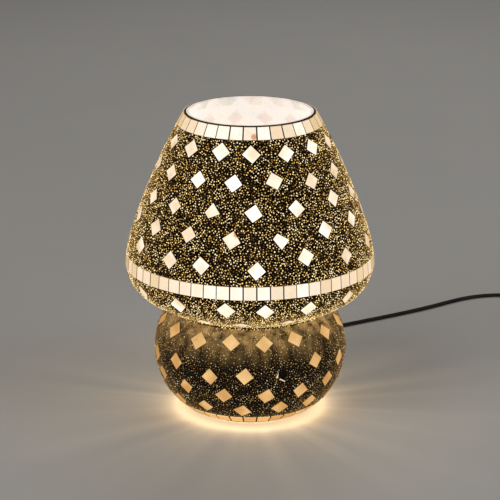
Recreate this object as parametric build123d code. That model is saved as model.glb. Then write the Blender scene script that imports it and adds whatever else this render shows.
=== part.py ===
from build123d import *
import math
import os
import random

# Mosaic glass table lamp. Millimetres and degrees. +Z is up, the origin is the centre of the foot
# on the table, and the cord leaves the lamp at the back (+Y). Azimuths run from the front (-Y)
# towards +X. An "elevation" is the angle of the body's outward normal above the horizontal.

# ------------------------------------------------------------------ driving dimensions: glass body
RIM_RADIUS = 52.5            # outside of the mosaic at the top opening
RIM_HEIGHT = 248.4
RIM_ELEVATION = 29.5
BODY_ARCS = (                # radius, and elevation at the arc's lower end; each is tangent to the next
    (530.0, 18.0),           # flank of the shade
    (107.5, 5.6),            # hip
    (31.5, -58.0),           # shoulder that turns under, through the widest circle
    (132.0, -68.25),         # shallow underside of the shade
    (-2.5, 60.69),           # waist, hollow
    (24.5, 16.0),            # crown of the globe
    (59.5, -31.5),           # belly of the globe
    (52.5, -68.5),           # underside of the globe
)
RIM_RUN_ON = 0.8             # elevation that the outline runs past the rim, and past the foot
FOOT_RUN_ON = 15.0
SHADE_ARCS = slice(0, 5)
GLOBE_ARCS = slice(4, 8)
GROUT_THICKNESS = 1.5
GLASS_THICKNESS = 2.5
RIM_CAP_HEIGHT = 0.6
RIM_CAP_INSET = 0.8          # below the mosaic's face
RIM_CAP_ROUNDING = 0.25
LIP_ROUNDING = 0.6           # fire-polished edges of the glass at the top opening
FOOT_HEIGHT = 1.0            # the clear foot ring lifts the glass by this much
FOOT_OPENING_RADIUS = 39.5
FOOT_RING_INNER = 40.0
FOOT_RING_OUTER = 44.0

# ------------------------------------------------------------------ driving dimensions: mosaic tiles
TILE_SIDE = 10.0
TILE_THICKNESS = 1.55
TILE_PROUD = 0.3             # face of a tile above the grout, at its middle
POCKET_CLEARANCE = 0.1
BAND_CLEARANCE = 0.3
BAND_SEAM = 0.7              # gap between neighbours in a band, at the surface
BANDS = {                    # node: height of the middle of the band, number of tiles
    "top_band_tiles": (243.2, 33),
    "middle_band_tiles": (127.6, 60),
    "foot_band_tiles": (7.4, 34),
}
TILES_PER_ROW = 15
# Each row is laid by hand: its height, and the azimuths of its front tiles. The rest of its 15
# tiles share out the back evenly.
DIAMOND_ROWS = {
    "shade_diamond_tiles": (
        (228.5, (-46, -21, 1, 26, 50)),
        (208.0, (-57, -33, -10, 15, 40, 64)),
        (187.5, (-67, -45, -21, 2, 26, 53)),
        (167.5, (-55, -32, -9, 15, 41, 64)),
        (147.5, (-64, -40, -23, 3, 27, 51)),
    ),
    "skirt_diamond_tiles": (
        (112.0, (-35, -11, 7, 28, 52)),
        (96.0, (-50, -26, -5, 21, 46)),
    ),
    "globe_diamond_tiles": (
        (77.3, (-57, -34, -12, 9, 30, 56)),
        (52.0, (-49, -24, -3, 19, 42)),
        (35.0, (-66, -42, -16, 10, 32, 54)),
        (20.0, (-55, -31, -5, 20, 43)),
    ),
}
LOST_TILES = {(52.0, 19)}    # one globe tile has fallen out and its place is filled with grout
LAID_OFF = {                 # tiles laid well off their row: row and azimuth, and the rise
    (208.0, 40): -3.2, (187.5, -45): -2.3, (187.5, 53): 2.2, (167.5, 41): 2.6,
    (167.5, 64): 2.9, (147.5, -64): 2.6, (147.5, 3): -2.7, (147.5, 27): 5.8,
    (77.3, -34): -2.7, (52.0, -49): 3.4, (52.0, -24): -2.6, (52.0, 42): 5.8,
    (35.0, -66): 4.5, (35.0, 54): 3.4, (20.0, 20): 2.6, (20.0, 43): 2.3,
}
CHIPPED_TILES = {(187.5, -21): 90, (167.5, 15): 0}    # and how far round the chipped side is turned
CHIPPED_SIDE = 5.5
LAY_HEIGHT = 1.2             # how far a hand-laid tile strays in height, and in turn from 45
LAY_TURN = 12.0
LAY_SEED = 11
CUT_ERROR = 0.8              # how far the sides of a hand-cut tile stray
CUT_SEED = 5

# ------------------------------------------------------------------ driving dimensions: lamp fittings
BRIDGE_HEIGHT = 7.0          # underside of the steel bridge across the foot
BRIDGE_WIDTH = 24.0
BRIDGE_THICKNESS = 1.5
PAD_THICKNESS = 1.0          # silicone pad that bonds the bridge to the glass
BRIDGE_ELEVATIONS = (-61.0, -52.0)
STEM_RADIUS = 5.0            # M10x1 lamp tube
STEM_BORE_RADIUS = 3.5
STEM_TOP = 64.0
NUT_HEIGHT = 3.0
NUT_ACROSS_FLATS = 14.0
WASHER_RADIUS = 9.0
WASHER_THICKNESS = 1.0
HOLDER_HEIGHT = 57.0         # underside of the lampholder's cap
HOLDER_RADIUS = 21.0
HOLDER_WALL = 2.2
CAP_HEIGHT = 20.0
INSERT_HEIGHT = 13.0
SKIRT_HEIGHT = 36.0
THREAD_CLEARANCE = 0.08      # between the bulb's cap and the holder's screw shell

# ------------------------------------------------------------------ driving dimensions: E27 bulb
BULB_FOOT = 93.5             # height of the bulb's foot contact
BULB_LENGTH = 105.0
BULB_RADIUS = 30.0
BULB_WALL = 0.8
BULB_CAP_RADIUS = 13.15      # E27 screw cap, crest of the thread
BULB_CAP_LENGTH = 25.0
PELLET_RADIUS = 4.75
NECK_RADIUS = 12.2
FILAMENTS = 4                # phosphor sticks round the glass stem
FILAMENT_LENGTH = 36.0
FILAMENT_RADIUS = 1.0
FILAMENT_RING = 7.5
FILAMENT_LEAN = 6.0

# ------------------------------------------------------------------ driving dimensions: cord and switch
CORE_RADIUS = 1.25           # twin flex: two round insulated cores side by side
CORD_AZIMUTH = 175.0         # where the cord goes through the glass
CORD_HOLE_HEIGHT = 16.0
GROMMET_RADIUS = 4.0
GROMMET_FLANGE = 5.3
WIRE_RADIUS = 0.9            # a core's own insulation, inside the holder and the switch
FLOOR_BENDS = ((88, 196), (175, 252), (236, 282))    # where the cord bends on the table
CORD_RUN_X = 266.0           # the cord's last leg, with the switch and plug, lies along this line
SWITCH_Y = 205.0             # middle of the inline switch
SWITCH_LENGTH = 60.0
SWITCH_WIDTH = 27.0
SWITCH_HEIGHT = 17.0
SWITCH_SPLIT = 8.5           # joint between its base and cover, at the height of the cord
SWITCH_WALL = 1.8
ROCKER_PIVOT_HEIGHT = 14.0
ROCKER_TILT = 9.0            # half of the rocker's travel
CONTACT_PIVOT_HEIGHT = 6.6
CONTACT_TILT = 6.0
CONTACT_REACH = 6.6          # from the blade's pivot to its contact button
BRASS_STRIP = 0.8            # thickness and width of the fixed contact strips
BRASS_WIDTH = 3.4
TRUNNION_RADIUS = 1.5
TRUNNION_CLEARANCE = 0.05
PLUG_Y = 105.0               # back of the plug's body
RELIEF_LENGTH = 18.0
PLUG_LENGTH = 34.0
PLUG_WIDTH = 35.3
PLUG_THICKNESS = 13.7
PIN_RADIUS = 2.0
PIN_NECK_RADIUS = 1.4        # under the insulating sleeve
SLEEVE_RADIUS = 1.8
PIN_LENGTH = 19.0
PIN_SPACING = 19.0
SLEEVE_LENGTH = 10.0

NODES = {}


def keep(name, *solids):
    """Store a node's solids, written to parts/NAME.step at the end."""
    NODES[name] = Compound(children=list(solids)) if len(solids) > 1 else solids[0]


def cylinder(radius, low, high):
    """A solid cylinder about Z between two heights."""
    return Pos(0, 0, (low + high) / 2) * Cylinder(radius, high - low)


def ring(outer, inner, low, high):
    """A round tube about Z between two heights."""
    return cylinder(outer, low, high) - cylinder(inner, low, high)


def direction(elevation):
    """Unit vector in the XZ half-plane."""
    angle = math.radians(elevation)
    return Vector(math.cos(angle), 0, math.sin(angle))


def body_arcs():
    """Centre, radius, top and bottom elevation of each arc of the mosaic's face, rim to foot."""
    arcs = []
    point = Vector(RIM_RADIUS, 0, RIM_HEIGHT)
    top = RIM_ELEVATION
    for radius, bottom in BODY_ARCS:
        centre = point - direction(top) * radius
        point = centre + direction(bottom) * radius
        arcs.append((centre, radius, top, bottom))
        top = bottom
    return arcs


ARCS = body_arcs()
WAIST_HEIGHT = ARCS[4][0].Z
GLASS_DEPTH = GROUT_THICKNESS                        # outside of the glass below the mosaic's face
INNER_DEPTH = GROUT_THICKNESS + GLASS_THICKNESS      # inside of the glass


def surface_at(height):
    """Radius and elevation of the mosaic's face at a height."""
    for centre, radius, top, bottom in ARCS:
        sine = (height - centre.Z) / radius
        if abs(sine) < 1:
            elevation = math.degrees(math.asin(sine))
            if min(top, bottom) <= elevation <= max(top, bottom):
                return centre.X + radius * math.cos(math.radians(elevation)), elevation
    raise ValueError(height)


def outline(depth, arcs):
    """The body's outline at a depth below the mosaic's face, as points on arcs, top to bottom."""
    edges = []
    for centre, radius, top, bottom in arcs:
        points = [centre + direction(e) * (radius - depth) for e in (top, (top + bottom) / 2, bottom)]
        edges.append(ThreePointArc(*points))
    return edges


def wall(outer_depth, inner_depth, arcs):
    """Flat face in the XZ half-plane between two depths below the mosaic's face."""
    outer = outline(outer_depth, arcs)
    inner = outline(inner_depth, arcs)
    ends = [Line(outer[0] @ 0, inner[0] @ 0), Line(outer[-1] @ 1, inner[-1] @ 1)]
    return make_face(outer + inner + ends)


def body_wall(outer_depth, inner_depth, part=slice(0, 8)):
    """The wall over a run of arcs, carried on past the rim and the foot so that it can be trimmed."""
    arcs = list(ARCS[part])
    centre, radius, top, bottom = arcs[0]
    arcs[0] = (centre, radius, top + (RIM_RUN_ON if part.start == 0 else 0), bottom)
    centre, radius, top, bottom = arcs[-1]
    arcs[-1] = (centre, radius, top, bottom - (FOOT_RUN_ON if part.stop == 8 else 0))
    return wall(outer_depth, inner_depth, arcs)


def layer(outer_depth, inner_depth, part=slice(0, 8), low=FOOT_HEIGHT, high=RIM_HEIGHT - RIM_CAP_HEIGHT):
    """A layer of the body between two depths, revolved about Z and trimmed at two heights."""
    window = Plane.XZ * Pos(RIM_RADIUS * 2, (low + high) / 2) * Rectangle(RIM_RADIUS * 4, high - low)
    return revolve(body_wall(outer_depth, inner_depth, part) & window, Axis.Z)


def seat(height, azimuth, turn=0.0):
    """Plane on the mosaic's face: its X runs level, its Y up the surface and its Z outwards."""
    radius, elevation = surface_at(height)
    a = math.radians(azimuth)
    e = math.radians(elevation)
    level = Vector(math.cos(a), math.sin(a), 0)
    radial = Vector(math.sin(a), -math.cos(a), 0)
    outward = radial * math.cos(e) + Vector(0, 0, math.sin(e))
    plane = Plane(origin=radial * radius + Vector(0, 0, height), x_dir=level, z_dir=outward)
    return plane * Rot(0, 0, turn)


def tile(low_width, high_width, side, grow=0.0):
    """A flat tile lying in its seat, cut a little narrower at one end where a band tapers."""
    half = side / 2 + grow
    low = low_width / 2 + grow
    high = high_width / 2 + grow
    face = make_face(Polyline((-low, -half), (low, -half), (high, half), (-high, half), close=True))
    depth = TILE_THICKNESS - TILE_PROUD + grow / 2
    return Pos(0, 0, -depth) * extrude(face, depth + TILE_PROUD + 2 * grow)


# ------------------------------------------------------------------ glass body, grout and rim
def grommet_seat():
    return seat(CORD_HOLE_HEIGHT, CORD_AZIMUTH)


def glass_body():
    """One blown piece: shade, waist and globe, open at the top and ground flat at the foot."""
    glass = layer(GLASS_DEPTH, INNER_DEPTH, high=RIM_HEIGHT)
    lip = glass.edges().filter_by(GeomType.CIRCLE).group_by(Axis.Z)[-1]
    glass = fillet(lip, LIP_ROUNDING)
    glass -= cylinder(FOOT_OPENING_RADIUS, 0, 10)
    return glass - grommet_seat() * Cylinder(GROMMET_RADIUS + 0.1, 20)


def band_groove(height):
    """The channel in the grout that a band of tiles lies in, its sides square to the surface."""
    radius, elevation = surface_at(height)
    depth = TILE_THICKNESS - TILE_PROUD + POCKET_CLEARANCE
    window = Plane.XZ * Pos(radius, height) * Rot(0, 0, elevation) * Rectangle(
        20, TILE_SIDE + 2 * BAND_CLEARANCE)
    return revolve(body_wall(-1, depth) & window, Axis.Z)


def grout(part, low, high, nodes, tools):
    """Grout over one part of the glass, with a groove for each band and a pocket for each tile."""
    skin = layer(0, GROUT_THICKNESS, part, low, high)
    for name in nodes:
        skin -= band_groove(BANDS[name][0])
    return skin - tools


def rim_cap():
    """Thin black bead outside the glass lip, over the top edges of the grout and tiles."""
    bead = layer(RIM_CAP_INSET, GROUT_THICKNESS, slice(0, 1), RIM_HEIGHT - RIM_CAP_HEIGHT, RIM_HEIGHT)
    crest = bead.edges().filter_by(GeomType.CIRCLE).group_by(Axis.Z)[-1].sort_by(SortBy.RADIUS)[-1]
    return fillet(crest, RIM_CAP_ROUNDING)


# ------------------------------------------------------------------ mosaic tiles
def row_azimuths(front):
    """All of a row's azimuths: the front ones as laid, and the rest sharing out the gap behind."""
    missing = TILES_PER_ROW - len(front)
    step = (360 + front[0] - front[-1]) / (missing + 1)
    return list(front) + [front[-1] + step * (i + 1) for i in range(missing)]


def diamond_tiles(rows, grow=0.0):
    """Nearly square tiles standing on a corner, each cut and laid a little off as hands do it."""
    lay = random.Random(LAY_SEED)
    cut = random.Random(CUT_SEED)
    tiles = []
    for height, front in rows:
        for azimuth in row_azimuths(front):
            place = (height, azimuth)
            strayed = height + LAID_OFF.get(place, 0) + lay.uniform(-LAY_HEIGHT, LAY_HEIGHT)
            turn = 45 + CHIPPED_TILES.get(place, 0) + lay.uniform(-LAY_TURN, LAY_TURN)
            low_width, high_width, side = (TILE_SIDE + cut.uniform(-CUT_ERROR, CUT_ERROR) for i in range(3))
            if place in CHIPPED_TILES:
                high_width = CHIPPED_SIDE
            if place not in LOST_TILES:
                tiles.append(seat(strayed, azimuth, turn) * tile(low_width, high_width, side, grow))
    return tiles


def band_tiles(height, count):
    """Upright tiles edge to edge round the body, tapered to suit the cone that they lie on."""
    radius, elevation = surface_at(height)
    lean = TILE_SIDE / 2 * math.sin(math.radians(elevation))
    low_width = math.tau * (radius + lean) / count - BAND_SEAM
    high_width = math.tau * (radius - lean) / count - BAND_SEAM
    shape = tile(low_width, high_width, TILE_SIDE)
    return [seat(height, i * 360 / count) * shape for i in range(count)]


def build_body():
    keep("glass_body", glass_body())
    keep("rim_cap", rim_cap())
    for name, (height, count) in BANDS.items():
        keep(name, *band_tiles(height, count))
    for name, rows in DIAMOND_ROWS.items():
        keep(name, *diamond_tiles(rows))
    shade_rows = DIAMOND_ROWS["shade_diamond_tiles"]
    skirt_rows = DIAMOND_ROWS["skirt_diamond_tiles"]
    shade_pockets = diamond_tiles(shade_rows, POCKET_CLEARANCE) + diamond_tiles(skirt_rows, POCKET_CLEARANCE)
    globe_pockets = diamond_tiles(DIAMOND_ROWS["globe_diamond_tiles"], POCKET_CLEARANCE)
    globe_pockets.append(grommet_seat() * Cylinder(GROMMET_RADIUS + 0.1, 20))
    top = RIM_HEIGHT - RIM_CAP_HEIGHT
    shade_bands = ("top_band_tiles", "middle_band_tiles")
    keep("shade_grout", grout(SHADE_ARCS, WAIST_HEIGHT, top, shade_bands, shade_pockets))
    keep("globe_grout", grout(GLOBE_ARCS, FOOT_HEIGHT, WAIST_HEIGHT, ("foot_band_tiles",), globe_pockets))
    keep("foot_ring", ring(FOOT_RING_OUTER, FOOT_RING_INNER, 0, FOOT_HEIGHT))


# ------------------------------------------------------------------ bridge, stem and lampholder
def bridge_end(outer_depth, inner_depth):
    """A strip that follows the inside of the glass at both sides of the foot."""
    centre, radius = ARCS[-1][:2]
    strip = revolve(wall(outer_depth, inner_depth, [(centre, radius, *reversed(BRIDGE_ELEVATIONS))]), Axis.Z)
    return strip & Box(4 * RIM_RADIUS, BRIDGE_WIDTH, 60)


def base_bridge():
    """Steel strap across the foot, its two ends bent to lie on the glass."""
    depth = INNER_DEPTH + PAD_THICKNESS
    ends = bridge_end(depth, depth + BRIDGE_THICKNESS)
    centre, radius = ARCS[-1][:2]
    reach = (centre + direction(BRIDGE_ELEVATIONS[0]) * (radius - depth - BRIDGE_THICKNESS / 2)).X
    middle = BRIDGE_HEIGHT + BRIDGE_THICKNESS / 2
    strap = Pos(0, 0, middle) * Box(2 * reach, BRIDGE_WIDTH, BRIDGE_THICKNESS)
    strap &= cylinder(reach, 0, 20)
    return strap + ends - cylinder(STEM_RADIUS + 0.2, 0, 20)


def hex_nut(low, height=NUT_HEIGHT, across=NUT_ACROSS_FLATS, bore=STEM_RADIUS + 0.05):
    """A hexagon nut about Z."""
    nut = Pos(0, 0, low) * extrude(RegularPolygon(across / 2, 6, major_radius=False), height)
    return nut - cylinder(bore, low - 1, low + height + 1)


def washer(low):
    return ring(WASHER_RADIUS, STEM_RADIUS + 0.2, low, low + WASHER_THICKNESS)


def build_stem():
    depth = INNER_DEPTH + 0.02
    pads = bridge_end(depth, INNER_DEPTH + PAD_THICKNESS - 0.02)
    keep("bridge_pads", *pads.solids())
    keep("base_bridge", base_bridge())
    bridge_top = BRIDGE_HEIGHT + BRIDGE_THICKNESS
    nut_under = BRIDGE_HEIGHT - WASHER_THICKNESS - NUT_HEIGHT
    keep("stem_tube", ring(STEM_RADIUS, STEM_BORE_RADIUS, nut_under - 1, STEM_TOP))
    keep("stem_washers", washer(BRIDGE_HEIGHT - WASHER_THICKNESS), washer(bridge_top))
    above = bridge_top + WASHER_THICKNESS
    keep("stem_nuts", hex_nut(nut_under), hex_nut(above), hex_nut(HOLDER_HEIGHT - NUT_HEIGHT))


INSERT_BASE = HOLDER_HEIGHT + CAP_HEIGHT
INSERT_TOP = INSERT_BASE + INSERT_HEIGHT
ENTRY_HEIGHT = HOLDER_HEIGHT + 10.8                  # the cord goes into the side of the holder's cap
TERMINAL_X = 11.0


def holder_cap():
    """Moulded cap of the lampholder: a boss on the stem, a hollow for the wires, a side entry."""
    body = cylinder(HOLDER_RADIUS - HOLDER_WALL, HOLDER_HEIGHT, INSERT_BASE)
    body = chamfer(body.edges().sort_by(Axis.Z)[0], 5)
    hollow = cylinder(HOLDER_RADIUS - 2 * HOLDER_WALL, STEM_TOP + 0.5, INSERT_BASE)
    body -= hollow + cylinder(STEM_RADIUS + 0.05, HOLDER_HEIGHT, STEM_TOP + 1)
    entry = Pos(0, HOLDER_RADIUS - HOLDER_WALL * 1.5, ENTRY_HEIGHT) * Rot(90, 0, 0) * Cylinder(3.4, 8)
    grub = Pos(-HOLDER_RADIUS / 2 - 3, 0, HOLDER_HEIGHT + 4) * Rot(0, 90, 0) * Cylinder(1.55, 18)
    return body - entry - grub


def holder_insert():
    """Porcelain insert: carries the screw shell and contacts, and passes their screws."""
    puck = cylinder(HOLDER_RADIUS - 2 * HOLDER_WALL - 0.3, INSERT_BASE, INSERT_TOP)
    puck -= cylinder(5.4, INSERT_TOP - 4, INSERT_TOP + 1)
    holes = [Pos(x, 0, INSERT_BASE + 4) * Cylinder(1.6, 20) for x in (-TERMINAL_X, TERMINAL_X)]
    return puck - holes - Pos(0, 0, INSERT_BASE) * Cylinder(1.1, 40)


def holder_skirt():
    """Outer shell of the lampholder, open at the top for the bulb, with a grip ring."""
    top = INSERT_BASE + SKIRT_HEIGHT
    low = INSERT_BASE - 4
    shell = cylinder(HOLDER_RADIUS, low, top)
    shell = fillet(shell.edges().sort_by(Axis.Z)[-1], 1.5)
    bore = cylinder(HOLDER_RADIUS - HOLDER_WALL + 0.05, low - 1, INSERT_TOP + 0.2)
    mouth = cylinder(HOLDER_RADIUS - 2 * HOLDER_WALL, low, top + 1)
    ribs = [Rot(0, 0, i * 15) * Pos(HOLDER_RADIUS, 0, low + 7) * Cylinder(0.7, 12) for i in range(24)]
    return shell + ribs - bore - mouth


def screw_shell():
    """Brass screw shell that takes the bulb's cap, with the floor that it is riveted by."""
    bore = BULB_CAP_RADIUS + THREAD_CLEARANCE
    shell = ring(bore + 0.5, bore, INSERT_TOP, INSERT_TOP + 22)
    floor = ring(bore + 0.5, 7.0, INSERT_TOP, INSERT_TOP + 0.5)
    return shell + floor


def terminal_screw(x):
    """Slotted screw up into the insert from the wiring side."""
    head = Pos(x, 0, 0) * cylinder(2.8, INSERT_BASE - 2, INSERT_BASE)
    shank = Pos(x, 0, 0) * cylinder(1.5, INSERT_BASE, INSERT_BASE + 9)
    slot = Pos(x, 0, INSERT_BASE - 2) * Box(6, 0.7, 1.4)
    return head + shank - slot


def round_wire(radius, *points, tangents=None):
    """A round wire swept along a smooth curve."""
    path = Spline(*points, tangents=tangents) if tangents else Spline(*points)
    start = Plane(origin=path @ 0, z_dir=path % 0)
    return sweep(start * Circle(radius), path=path)


def build_holder():
    turn = Rot(0, 0, CORD_AZIMUTH - 180)
    keep("holder_cap", turn * holder_cap())
    keep("holder_insert", turn * holder_insert())
    keep("holder_skirt", turn * holder_skirt())
    keep("screw_shell", turn * screw_shell())
    strip = Pos(0, 0, INSERT_TOP - 3.7) * Box(8, 5, 0.6)
    spring = Pos(0, 0, INSERT_TOP - 0.2) * Rot(0, -12, 0) * Box(7, 4, 0.5)
    post = cylinder(1.0, INSERT_BASE - 2, INSERT_TOP - 3.5)
    riser = Pos(3.2, 0, INSERT_TOP - 1.8) * Box(0.6, 4, 4.0)
    keep("centre_contact", turn * (strip + post + riser + spring))
    keep("terminal_screws", turn * terminal_screw(-TERMINAL_X), turn * terminal_screw(TERMINAL_X))
    tip = HOLDER_RADIUS / 2 - 3
    keep("grub_screw", turn * Pos(-tip - 4.6, 0, HOLDER_HEIGHT + 4) * Rot(0, 90, 0) * Cylinder(1.5, 9))
    wires = []
    for side in (-1, 1):
        start = (side * CORE_RADIUS, HOLDER_RADIUS - 2 * HOLDER_WALL - 2.5, ENTRY_HEIGHT)
        end = (side * TERMINAL_X, 3.4, INSERT_BASE - 3.0)
        wires.append(turn * round_wire(WIRE_RADIUS, start, end, tangents=((0, -1, 0.1), (side, -0.4, 0.3))))
    keep("holder_wires", *wires)


# ------------------------------------------------------------------ bulb
def bulb_outline(depth):
    """Half outline of a pear-shaped bulb at a depth below its face, from its top to its neck."""
    centre = BULB_FOOT + BULB_LENGTH - BULB_RADIUS
    radius = BULB_RADIUS - depth
    neck = NECK_RADIUS - depth
    shoulder = Vector(0, 0, centre) + direction(-28) * radius
    heart = Vector(0, 0, centre)
    ball = ThreePointArc(heart + direction(90) * radius, heart + direction(30) * radius, shoulder)
    foot = Vector(neck, 0, BULB_FOOT + BULB_CAP_LENGTH - 12)
    throat = foot + Vector(0, 0, 14)
    slope = Spline(shoulder, throat, tangents=(ball % 1, (0, 0, -1)))
    return [ball, slope, Line(throat, foot)]


def bulb_envelope():
    outer = bulb_outline(0)
    inner = bulb_outline(BULB_WALL)
    ends = [Line(outer[0] @ 0, inner[0] @ 0), Line(outer[-1] @ 1, inner[-1] @ 1)]
    return revolve(make_face(outer + inner + ends), Axis.Z)


def bulb_screw_cap():
    """Rolled metal cap: a sleeve with a turned-in floor round the insulator."""
    low = BULB_FOOT + 3
    top = BULB_FOOT + BULB_CAP_LENGTH
    sleeve = ring(BULB_CAP_RADIUS, BULB_CAP_RADIUS - 0.6, low, top)
    return sleeve + ring(BULB_CAP_RADIUS, 9.5, low, low + 0.5)


def build_bulb():
    keep("bulb_envelope", bulb_envelope())
    keep("bulb_screw_cap", bulb_screw_cap())
    insulator = Pos(0, 0, BULB_FOOT + 1.7) * Cone(6.5, 9.4, 2.6)
    insulator += cylinder(9.4, BULB_FOOT + 3, BULB_FOOT + 4.5)
    keep("bulb_insulator", insulator - cylinder(PELLET_RADIUS + 0.05, BULB_FOOT, BULB_FOOT + 6))
    pellet = fillet(cylinder(PELLET_RADIUS, BULB_FOOT, BULB_FOOT + 2.5).edges().sort_by(Axis.Z)[0], 0.8)
    keep("bulb_foot_contact", pellet)
    stem_foot = BULB_FOOT + BULB_CAP_LENGTH - 8
    stem_top = BULB_FOOT + 84
    flare = Pos(0, 0, stem_foot + 6) * Cone(9.5, 3.2, 12)
    keep("bulb_stem", flare + cylinder(2.2, stem_foot + 11, stem_top))
    sticks = []
    for i in range(FILAMENTS):
        stick = Rot(0, -FILAMENT_LEAN, 0) * Cylinder(FILAMENT_RADIUS, FILAMENT_LENGTH)
        stick = Pos(FILAMENT_RING, 0, (stem_foot + 16 + stem_top) / 2) * stick
        sticks.append(Rot(0, 0, (i + 0.5) * 360 / FILAMENTS) * stick)
    keep("bulb_filaments", *sticks)


# ------------------------------------------------------------------ twin cord
def flex_section():
    """Figure-of-eight section of the twin flex, its wide way along X."""
    web = Rectangle(2 * CORE_RADIUS, CORE_RADIUS)
    cores = [Pos(x, 0) * Circle(CORE_RADIUS) for x in (-CORE_RADIUS, CORE_RADIUS)]
    return cores[0] + cores[1] + web


def flex(path, wide):
    """Twin flex swept along a flat path; wide is the level direction across its start."""
    start = Plane(origin=path @ 0, x_dir=wide, z_dir=path % 0)
    return sweep(start * flex_section(), path=path)


def cord_grommet():
    """Rubber bush with a flange on each side of the glass, about Z with the mosaic's face at zero."""
    outer_flange = (0.25, 1.25)
    inner_flange = (-INNER_DEPTH - 1.5, -INNER_DEPTH - 0.5)
    bush = cylinder(GROMMET_RADIUS, inner_flange[0], outer_flange[1])
    bush += cylinder(GROMMET_FLANGE, *outer_flange) + cylinder(GROMMET_FLANGE, *inner_flange)
    return bush - Cylinder(2.75, 30)


def build_cord():
    z = CORE_RADIUS
    turn = Rot(0, 0, CORD_AZIMUTH - 180)
    radius, elevation = surface_at(CORD_HOLE_HEIGHT)
    out = -direction(elevation)
    way = (0, -out.X, out.Z)
    hole = (0, radius, CORD_HOLE_HEIGHT)
    entry = (0, HOLDER_RADIUS - 2 * HOLDER_WALL - 1.5, ENTRY_HEIGHT)
    outward = (0, math.cos(math.radians(elevation)), math.sin(math.radians(elevation)))
    inside = Spline(entry, hole, tangents=((0, 1, 0), outward), tangent_scalars=(1.4, 1.0))
    landing = (0, radius + 26, z)
    drop = Spline(hole, landing, tangents=(outward, (0, 1, 0)))
    rise = turn * (flex(inside, (1, 0, 0)) + flex(drop, (1, 0, 0)))
    start = Vector(*landing).rotate(Axis.Z, CORD_AZIMUTH - 180)
    heading = (math.sin(math.radians(180 - CORD_AZIMUTH)), math.cos(math.radians(180 - CORD_AZIMUTH)), 0)
    last = (CORD_RUN_X, SWITCH_Y + SWITCH_LENGTH / 2 + 26, z)
    bends = [(x, y, z) for x, y in FLOOR_BENDS]
    floor = Spline(start, *bends, last, tangents=(heading, (0, -1, 0)))
    level = flex(floor, (heading[1], -heading[0], 0))
    switch_end = (CORD_RUN_X, SWITCH_Y + SWITCH_LENGTH / 2 - 3, SWITCH_SPLIT)
    climb = Spline(last, switch_end, tangents=((0, -1, 0), (0, -1, 0)))
    keep("lamp_cord", rise + level + flex(climb, (1, 0, 0)))
    leave = (CORD_RUN_X, SWITCH_Y - SWITCH_LENGTH / 2 + 3, SWITCH_SPLIT)
    relief = (CORD_RUN_X, PLUG_Y + RELIEF_LENGTH + 1, PLUG_THICKNESS / 2)
    low = (CORD_RUN_X, (leave[1] + relief[1]) / 2, z)
    arrive = (CORD_RUN_X, PLUG_Y - 1, PLUG_THICKNESS / 2)
    back = (0, -1, 0)
    runs = [Spline(leave, low, tangents=(back, back)), Spline(low, relief, tangents=(back, back))]
    runs.append(Line(relief, arrive))
    plug_cord = [flex(run, (1, 0, 0)) for run in runs]
    keep("plug_cord", plug_cord[0] + plug_cord[1] + plug_cord[2])
    keep("cord_grommet", grommet_seat() * cord_grommet())


# ------------------------------------------------------------------ inline switch
SWITCH_PLACE = Pos(CORD_RUN_X, SWITCH_Y, 0) * Rot(0, 0, -90)
SCREW_SPOTS = ((-21, -8.5), (21, -8.5))
TERMINAL_SPOTS = (-13.5, 11.5)


def cord_notch(length, height):
    """Clear way for the flex through an end wall, along X."""
    return Pos(0, 0, height) * Rot(0, 90, 0) * Rot(0, 0, 90) * extrude(
        SlotOverall(5.3, 2.8), length, both=True)


def switch_half(low, high):
    """Half of the housing, as a solid block with rounded ends."""
    block = extrude(RectangleRounded(SWITCH_LENGTH, SWITCH_WIDTH, 7), high - low)
    return Pos(0, 0, low) * block


def hollow_half(low, high):
    inner = RectangleRounded(SWITCH_LENGTH - 2 * SWITCH_WALL, SWITCH_WIDTH - 2 * SWITCH_WALL, 5.2)
    return Pos(0, 0, low) * extrude(inner, high - low)


def switch_base():
    block = switch_half(0, SWITCH_SPLIT)
    block = fillet(block.faces().sort_by(Axis.Z)[0].edges(), 1.5)
    block -= hollow_half(SWITCH_WALL, SWITCH_SPLIT + 1)
    for x, y in SCREW_SPOTS:
        block += Pos(x, y, 0) * cylinder(3.0, 1.0, SWITCH_SPLIT)
        block -= Pos(x, y, 0) * cylinder(1.4, -1, SWITCH_SPLIT + 1)
        block -= Pos(x, y, 0) * cylinder(2.4, -1, 2.2)
    return block - cord_notch(SWITCH_LENGTH, SWITCH_SPLIT)


def switch_cover():
    top = SWITCH_HEIGHT
    block = switch_half(SWITCH_SPLIT, top)
    block = fillet(block.faces().sort_by(Axis.Z)[-1].edges(), 2.5)
    block -= hollow_half(SWITCH_SPLIT - 1, top - SWITCH_WALL)
    for side in (-1, 1):
        block += Pos(0, side * 6.7, top - 4.2) * Box(5, 1.5, 6.6)
    block -= Pos(0, 0, top) * Box(17.8, 11.5, 8)
    pivot = Pos(0, 0, ROCKER_PIVOT_HEIGHT) * Rot(90, 0, 0)
    block -= pivot * Cylinder(TRUNNION_RADIUS + TRUNNION_CLEARANCE, 15.2)
    for x, y in SCREW_SPOTS:
        block += Pos(x, y, 0) * cylinder(3.0, SWITCH_SPLIT, top - 1)
        block -= Pos(x, y, 0) * cylinder(1.25, SWITCH_SPLIT - 1, top - 4)
    return block - cord_notch(SWITCH_LENGTH, SWITCH_SPLIT)


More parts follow.
